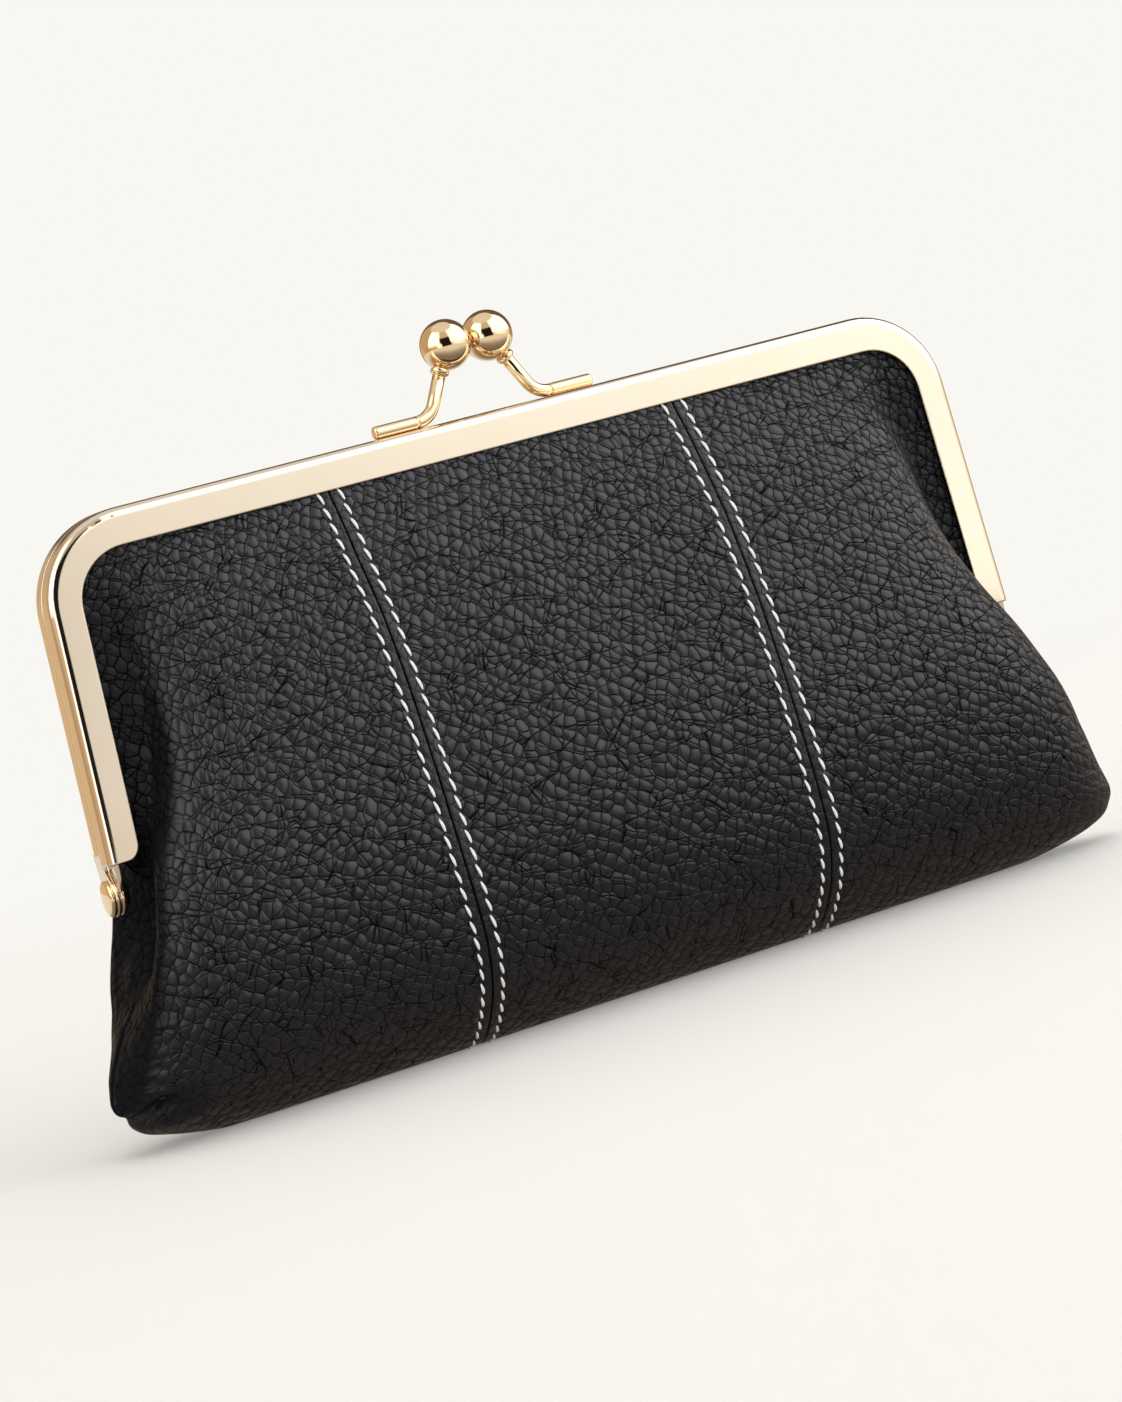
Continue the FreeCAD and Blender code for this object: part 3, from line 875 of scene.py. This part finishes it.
def buildStitches(name, facing):
    skin = makeSkinRows(0.0)
    mesh = bmesh.new()
    for seamSide in (-1, 1):
        for rowSide in (-1, 1):
            points, girthWay = seamLine(skin, seamSide, rowSide * stitch["fromSeam"])
            run = runAlong(points)
            count = int(run[-1] / stitch["pitch"])
            for k in range(count):
                at = run[-1] - (k + 0.5) * stitch["pitch"]
                here, ahead, across = [
                    Vector([np.interp(a, run, source[:, i]) for i in range(3)])
                    for a, source in ((at, points), (at + stitch["alongStep"], points), (at, girthWay))
                ]
                along = (ahead - here).normalized()
                outward = along.cross(across * seamSide).normalized()
                if outward.y < 0:
                    outward.negate()
                here += outward * swell(here.x, here.y, here.z, facing)
                sewOne(mesh, here, along, outward, facing)
    for face in mesh.faces:
        face.smooth = True
    bmesh.ops.recalc_face_normals(mesh, faces=mesh.faces)
    return asPiece(name, mesh, thread)


def sewOne(mesh, here, along, outward, facing):
    turned = Matrix.Rotation(stitch["tilt"], 3, outward) @ along
    across = outward.cross(turned)
    made = bmesh.ops.create_uvsphere(mesh, u_segments=stitch["segments"], v_segments=stitch["rings"],
                                     radius=1)
    for v in made["verts"]:
        x, y, z = v.co
        body = 1 - stitch["taper"] * z * z
        spot = here + turned * (z * stitch["length"] / 2) + across * (x * body * stitch["thick"] / 2)
        spot += outward * (y * body * stitch["thick"] / 2 + stitch["proud"] - stitch["dip"] * z * z)
        v.co = (spot.x * mm, facing * spot.y * mm, hingeZ + spot.z * mm)


for half, facing in halves.items():
    piece = buildStitches(half + "Stitches", facing)
    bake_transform(piece)
print("stitches sewn")


# kiss lock: wires, collars and balls, drawn round over their solids

clasp = {
    "wire": 1.3,
    "bend": 5.2,
    "lean": math.radians(60.0),
    "footReach": 20.3,
    "ballRadius": 5.15,
    "intoBall": 2.4,
    "collarLength": 1.34,
    "collarShape": [(0.0, 1.34), (0.12, 1.62), (0.3, 1.84), (0.55, 1.92), (0.8, 1.84), (1.0, 1.62)],
    "footShares": (0, 0.05, 0.5, 0.95),
    "roundEnd": 0.5,
    "endSteps": 6,
    "arcSteps": 14,
    "segments": 28,
    "ballSegments": 72,
    "ballRings": 44,
}


def tube(mesh, path, radii, level):
    # rings along a path, bridged; level is a direction that is never along the path
    rings = []
    for k, (spot, radius) in enumerate(zip(path, radii)):
        along = (path[min(k + 1, len(path) - 1)] - path[max(k - 1, 0)]).normalized()
        side = along.cross(level).normalized()
        place = Matrix((side, along.cross(side), along)).transposed().to_4x4()
        place.translation = spot
        made = bmesh.ops.create_circle(mesh, segments=clasp["segments"], radius=radius, matrix=place)
        rings.append(list({e for v in made["verts"] for e in v.link_edges}))
    for near, far in zip(rings, rings[1:]):
        bmesh.ops.bridge_loops(mesh, edges=near + far)
    for ring in (rings[0], rings[-1]):
        bmesh.ops.contextual_create(mesh, geom=ring)


def metalPiece(name, mesh, node, body):
    bmesh.ops.recalc_face_normals(mesh, faces=mesh.faces)
    for face in mesh.faces:
        face.smooth = len(face.verts) < 5
    piece = asPiece(name, mesh, knobGold)
    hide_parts(node)
    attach(piece, body)


def boxMiddle(node):
    low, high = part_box(node)
    return (Vector(low) + Vector(high)) / 2


def makeClasp(half, facing):
    wire = clasp["wire"] * mm
    centre = boxMiddle(half + "_knob_ball")
    footMiddle = boxMiddle(half + "_knob_foot")
    outward = Vector((facing, 0, 0))
    elbow = footMiddle.copy()
    elbow.x = centre.x + facing * (centre.z - footMiddle.z) / math.tan(clasp["lean"])
    upward = (centre - elbow).normalized()
    halfTurn = upward.angle(outward) / 2
    reach = clasp["bend"] * mm / math.tan(halfTurn)
    footNear = elbow + outward * reach
    inner = (upward + outward).normalized()
    hub = elbow + inner * (clasp["bend"] * mm / math.sin(halfTurn))
    spoke, lastSpoke = footNear - hub, elbow + upward * reach - hub
    axle = spoke.cross(lastSpoke).normalized()
    step = (math.pi - 2 * halfTurn) / clasp["arcSteps"]
    arc = [hub + Matrix.Rotation(step * k, 3, axle) @ spoke for k in range(clasp["arcSteps"] + 1)]
    ballEdge = clasp["ballRadius"] * mm
    arc.append(centre - upward * (ballEdge - clasp["intoBall"] * mm))
    level = Vector((0, 1, 0))

    mesh = bmesh.new()
    tube(mesh, arc, [wire] * len(arc), level)
    metalPiece(half + "KnobWire", mesh, half + "_knob_stalk", half + "_knob")

    mesh = bmesh.new()
    farEnd = Vector((centre.x + facing * clasp["footReach"] * mm, footMiddle.y, footMiddle.z))
    rounding = clasp["roundEnd"] * mm
    path = [footNear.lerp(farEnd - outward * rounding, share) for share in clasp["footShares"]]
    radii = [wire] * len(path)
    for k in range(clasp["endSteps"] + 1):
        a = math.pi / 2 * k / clasp["endSteps"]
        path.append(farEnd - outward * rounding * (1 - math.sin(a)))
        radii.append(wire - rounding * (1 - math.cos(a)))
    tube(mesh, path, radii, level)
    metalPiece(half + "KnobFoot", mesh, half + "_knob_foot", half + "_half")

    mesh = bmesh.new()
    start = centre - upward * (ballEdge + clasp["collarLength"] * mm)
    shape = clasp["collarShape"]
    path = [start + upward * (share * clasp["collarLength"] * mm) for share, radius in shape]
    tube(mesh, path, [radius * mm for share, radius in shape], level)
    metalPiece(half + "KnobCollar", mesh, half + "_knob_collar", half + "_knob")

    mesh = bmesh.new()
    turned = upward.to_track_quat("Z", "X").to_matrix().to_4x4()
    turned.translation = centre
    bmesh.ops.create_uvsphere(mesh, u_segments=clasp["ballSegments"], v_segments=clasp["ballRings"],
                              radius=ballEdge, matrix=turned)
    metalPiece(half + "KnobBall", mesh, half + "_knob_ball", half + "_knob")


for half, facing in halves.items():
    makeClasp(half, facing)
print("kiss lock made")


# hinge rivets: a flat head and two rounded rings, turned about the hinge axis

rivet = {
    # from the outer face inwards, radius
    "shape": [
        (0.0, 0.0), (0.0, 2.7), (0.1, 3.15), (0.3, 3.48), (0.6, 3.62), (0.86, 3.56), (1.02, 3.36),
        (1.08, 3.1), (1.12, 3.36), (1.28, 3.62), (1.52, 3.72), (1.76, 3.62), (1.93, 3.36), (2.0, 3.1),
        (2.1, 3.36), (2.3, 3.6), (2.62, 3.68), (2.94, 3.6), (3.15, 3.36), (3.22, 2.6), (4.16, 2.6),
        (4.16, 0.0),
    ],
    "steps": 56,
}


def makeRivet(side, way):
    low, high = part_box(side + "_hinge_rivet")
    face = low[0] if way < 0 else high[0]
    outline = [(face - way * inward * mm, radius * mm, hingeZ) for inward, radius in rivet["shape"]]
    mesh = lathe(outline, (1, 0, 0), (0, 0, hingeZ), rivet["steps"])
    metalPiece(side + "HingeRivet", mesh, side + "_hinge_rivet", "pouch")


for side, way in (("left", -1), ("right", 1)):
    makeRivet(side, way)
print("rivets turned")


# floor, lights and background

stageLook = {
    "floor": (0.94, 0.93, 0.905, 1),
    "glow": (0.947, 0.930, 0.888, 1),    # what the far ground and the backdrop show
    "under": (0.25, 0.205, 0.17, 1),     # painted shadow: the glow the ground shows in reflections, close under the purse
    "mirrored": (0.92, 0.88, 0.82, 1),   # painted reflection: the pale glow it shows further out
    "underTo": 0.06,
    "mirroredFrom": 0.32,
    "underShape": (0.5, 1.0, 1.0),       # it is twice as long along the purse
    "lit": 0.20,                         # out to here the ground is lit and takes the shadow
    "unlit": 0.75,
    "veil": 0.22,                        # share of the glow that is over the lit ground too
    "rough": 0.9,
    "rim": 2.4,
    "flat": 1.2,
    "height": 3.0,
    "bowlSteps": 12,
    "steps": 72,
}


def makeGround():
    material, tree, shader = newMaterial("paleGround")
    link = tree.links.new
    shader.inputs["Base Color"].default_value = stageLook["floor"]
    shader.inputs["Roughness"].default_value = stageLook["rough"]
    shader.inputs["Specular IOR Level"].default_value = 0.0
    spot = addNode(tree, "ShaderNodeTexCoord")
    away = vectorNode(tree, "LENGTH", spot.outputs["Object"])["Value"]
    far = ranged(tree, away, stageLook["lit"], stageLook["unlit"], stageLook["veil"])
    path = addNode(tree, "ShaderNodeLightPath")
    seen = mathNode(tree, "MAXIMUM", path.outputs["Is Camera Ray"], path.outputs["Is Transmission Ray"])
    glow = addNode(tree, "ShaderNodeEmission", Color=stageLook["glow"], Strength=1.0)
    # in reflections the ground shows a glow instead of its lit colour: painted shadow under the purse, pale
    # further out
    squeezed = vectorNode(tree, "MULTIPLY", spot.outputs["Object"], stageLook["underShape"])[0]
    clear = vectorNode(tree, "LENGTH", squeezed)["Value"]
    beyond = ranged(tree, clear, stageLook["underTo"], stageLook["mirroredFrom"])
    shade = mixColours(tree, beyond, stageLook["under"], stageLook["mirrored"])
    mirrored = addNode(tree, "ShaderNodeEmission", Color=shade, Strength=1.0)
    surface = shader.outputs["BSDF"]
    veiled = mathNode(tree, "MULTIPLY", far, seen)
    for share, light in ((veiled, glow), (path.outputs["Is Glossy Ray"], mirrored)):
        mixed = addNode(tree, "ShaderNodeMixShader")
        for slot, value in zip(mixed.inputs, (share, surface, light.outputs[0])):
            link(value, slot)
        surface = mixed.outputs[0]
    link(surface, tree.nodes["Material Output"].inputs["Surface"])
    return material


def makeStage():
    outline = [(0, 0, 0), (stageLook["flat"], 0, 0)]
    bowl = stageLook["rim"] - stageLook["flat"]
    for k in range(1, stageLook["bowlSteps"] + 1):
        a = math.pi / 2 * k / stageLook["bowlSteps"]
        outline.append((stageLook["flat"] + bowl * math.sin(a), 0, bowl * (1 - math.cos(a))))
    outline.append((stageLook["rim"], 0, stageLook["height"]))
    mesh = lathe(outline, (0, 0, 1), (0, 0, 0), stageLook["steps"])
    bmesh.ops.recalc_face_normals(mesh, faces=mesh.faces)
    for face in mesh.faces:
        face.smooth = True
    sweep = asPiece("paleSweep", mesh, makeGround())


makeStage()

lamps = {
    "overhead": {"at": (0.35, 0.10, 1.25), "aim": (0, 0, 0.05), "size": (2.2, 1.8), "power": 13.4},
    "rightBox": {"at": (0.95, -1.00, 0.55), "aim": (0, 0, 0.06), "size": (1.1, 0.9), "power": 6.5},
    "leftBox": {"at": (-1.25, -0.75, 0.45), "aim": (0, 0, 0.06), "size": (0.7, 0.8), "power": 3.0},
}


def placeLamp(name, at, aim, size, power):
    data = bpy.data.lights.new(name, "AREA")
    data.shape = "RECTANGLE"
    data.size, data.size_y = size
    data.energy = power
    lamp = bpy.data.objects.new(name, data)
    lamp.location = at
    lamp.rotation_mode = "QUATERNION"
    lamp.rotation_quaternion = (Vector(aim) - Vector(at)).to_track_quat("-Z", "Y")
    lamp.visible_camera = False
    lamp.visible_glossy = False
    bpy.context.scene.collection.objects.link(lamp)


for name, lamp in lamps.items():
    placeLamp(name, **lamp)

# glowing ring that shows only in reflections and lights nothing: painted reflections of soft boxes, of the
# dark gap about the camera and of tan and brown surroundings
# colours of the painted reflections: the dark gap, brown and tan surroundings, the ceiling and the soft boxes
tone = {
    "gap": (0.006, 0.0055, 0.005),
    "brown": (0.06, 0.045, 0.035),
    "tan": (0.24, 0.18, 0.115),
    "ceiling": (0.26, 0.23, 0.19),
    "lowLeft": (0.80, 0.79, 0.77),
    "left": (0.92, 0.91, 0.89),
    "right": (0.95, 0.95, 0.95),
    "rightEnd": (0.95, 0.95, 0.94),
}
tent = {
    "radius": 0.95,
    "wall": 0.52,
    "height": 0.70,
    "foot": 0.5 * mm,          # clear of the ground
    "domeSteps": 6,
    "steps": 96,
    "strength": 2.6,
    "low": (0.10, 0.34),       # heights between which the low ring gives way to the boxes
    "middle": (0.60, 0.72),    # the boxes to their upper ends, where the gap in front closes
    "high": (1.02, 1.12),      # and those to an even glow
    "above": (0.34, 0.33, 0.315, 1),
    # bearing in degrees to the right of the front, painted reflection there
    "ring": [
        (-180, (0.10, 0.07, 0.045)), (-174, (0.31, 0.225, 0.135)), (-150, (0.30, 0.215, 0.13)),
        (-120, (0.20, 0.14, 0.085)), (-62, (0.30, 0.22, 0.14)), (-54, tone["lowLeft"]),
        (-40, tone["lowLeft"]), (-36, tone["gap"]), (5, tone["gap"]),
        (8, (0.325, 0.315, 0.305)), (12, (0.395, 0.39, 0.375)),
        (24, (0.475, 0.48, 0.475)), (38, (0.575, 0.585, 0.575)), (60, (0.56, 0.55, 0.50)),
        (90, (0.40, 0.32, 0.23)), (108, (0.18, 0.14, 0.10)), (180, (0.10, 0.07, 0.045)),
    ],
    "boxes": [
        (-180, tone["brown"]), (-172, tone["tan"]), (-106, tone["tan"]), (-100, tone["left"]),
        (-50, tone["left"]), (-42, tone["gap"]), (2, tone["gap"]), (6, (0.72, 0.72, 0.71)),
        (38, (0.85, 0.86, 0.86)), (52, tone["right"]), (98, tone["rightEnd"]), (106, tone["brown"]),
        (180, tone["brown"]),
    ],
    "upper": [
        (-180, tone["brown"]), (-172, tone["tan"]), (-106, tone["tan"]), (-100, tone["left"]),
        (-50, tone["left"]), (-40, tone["ceiling"]), (0, tone["ceiling"]), (6, (0.80, 0.80, 0.79)),
        (52, tone["right"]), (98, tone["rightEnd"]), (106, tone["brown"]), (180, tone["brown"]),
    ],
}


def makeTentRamp(tree, share, boxes):
    ramp = addNode(tree, "ShaderNodeValToRGB", Fac=share)
    stops = ramp.color_ramp.elements
    stops[0].color = boxes[0][1] + (1,)
    stops[1].color = boxes[-1][1] + (1,)
    for degrees, light in boxes[1:-1]:
        stops.new((degrees + 180) / 360).color = light + (1,)
    return ramp.outputs["Color"]


def makeTentLight():
    material, tree, shader = newMaterial("paintedReflections")
    link = tree.links.new
    tree.nodes.remove(shader)
    spot = addNode(tree, "ShaderNodeTexCoord")
    parts = addNode(tree, "ShaderNodeSeparateXYZ")
    link(spot.outputs["Object"], parts.inputs[0])
    ahead = mathNode(tree, "MULTIPLY", parts.outputs["Y"], -1.0)
    bearing = mathNode(tree, "ARCTAN2", parts.outputs["X"], ahead)
    share = mathNode(tree, "MULTIPLY_ADD", bearing, 1 / (2 * math.pi))
    share.node.inputs[2].default_value = 0.5
    glow, boxes, upper = [makeTentRamp(tree, share, tent[level]) for level in ("ring", "boxes", "upper")]
    for limits, above in (("low", boxes), ("middle", upper), ("high", tent["above"])):
        glow = mixColours(tree, ranged(tree, parts.outputs["Z"], *tent[limits]), glow, above)
    light = addNode(tree, "ShaderNodeEmission", Color=glow, Strength=tent["strength"])
    link(light.outputs[0], tree.nodes["Material Output"].inputs["Surface"])
    material.cycles.emission_sampling = "NONE"
    return material


def makeTent():
    outline = [(tent["radius"], 0, tent["foot"])]
    for k in range(tent["domeSteps"] + 1):
        a = math.pi / 2 * k / tent["domeSteps"]
        outline.append((tent["radius"] * math.cos(a), 0, tent["wall"] + tent["height"] * math.sin(a)))
    mesh = lathe(outline, (0, 0, 1), (0, 0, 0), tent["steps"])
    ring = asPiece("paintedReflectionRing", mesh, makeTentLight())
    ring.visible_camera = False
    ring.visible_diffuse = False
    ring.visible_shadow = False


makeTent()

worldLook = {"Color": (1.0, 0.95, 0.88, 1), "Strength": 0.42}
world = bpy.data.worlds.new("softStudio")
world.use_nodes = True
for label, value in worldLook.items():
    world.node_tree.nodes["Background"].inputs[label].default_value = value
bpy.context.scene.world = world
bpy.context.scene.view_settings.view_transform = "Standard"
print("stage and lamps placed")


# finishes on the frame's own nodes

for node, piece in frame["nodes"].items():
    if "knob" in node:
        look = knobGold
    elif "frame" in node or "rivet" in node:
        look = frameGold
    elif "cord" in node:
        look = paperCord
    else:
        continue
    piece.data.materials.clear()
    piece.data.materials.append(look)
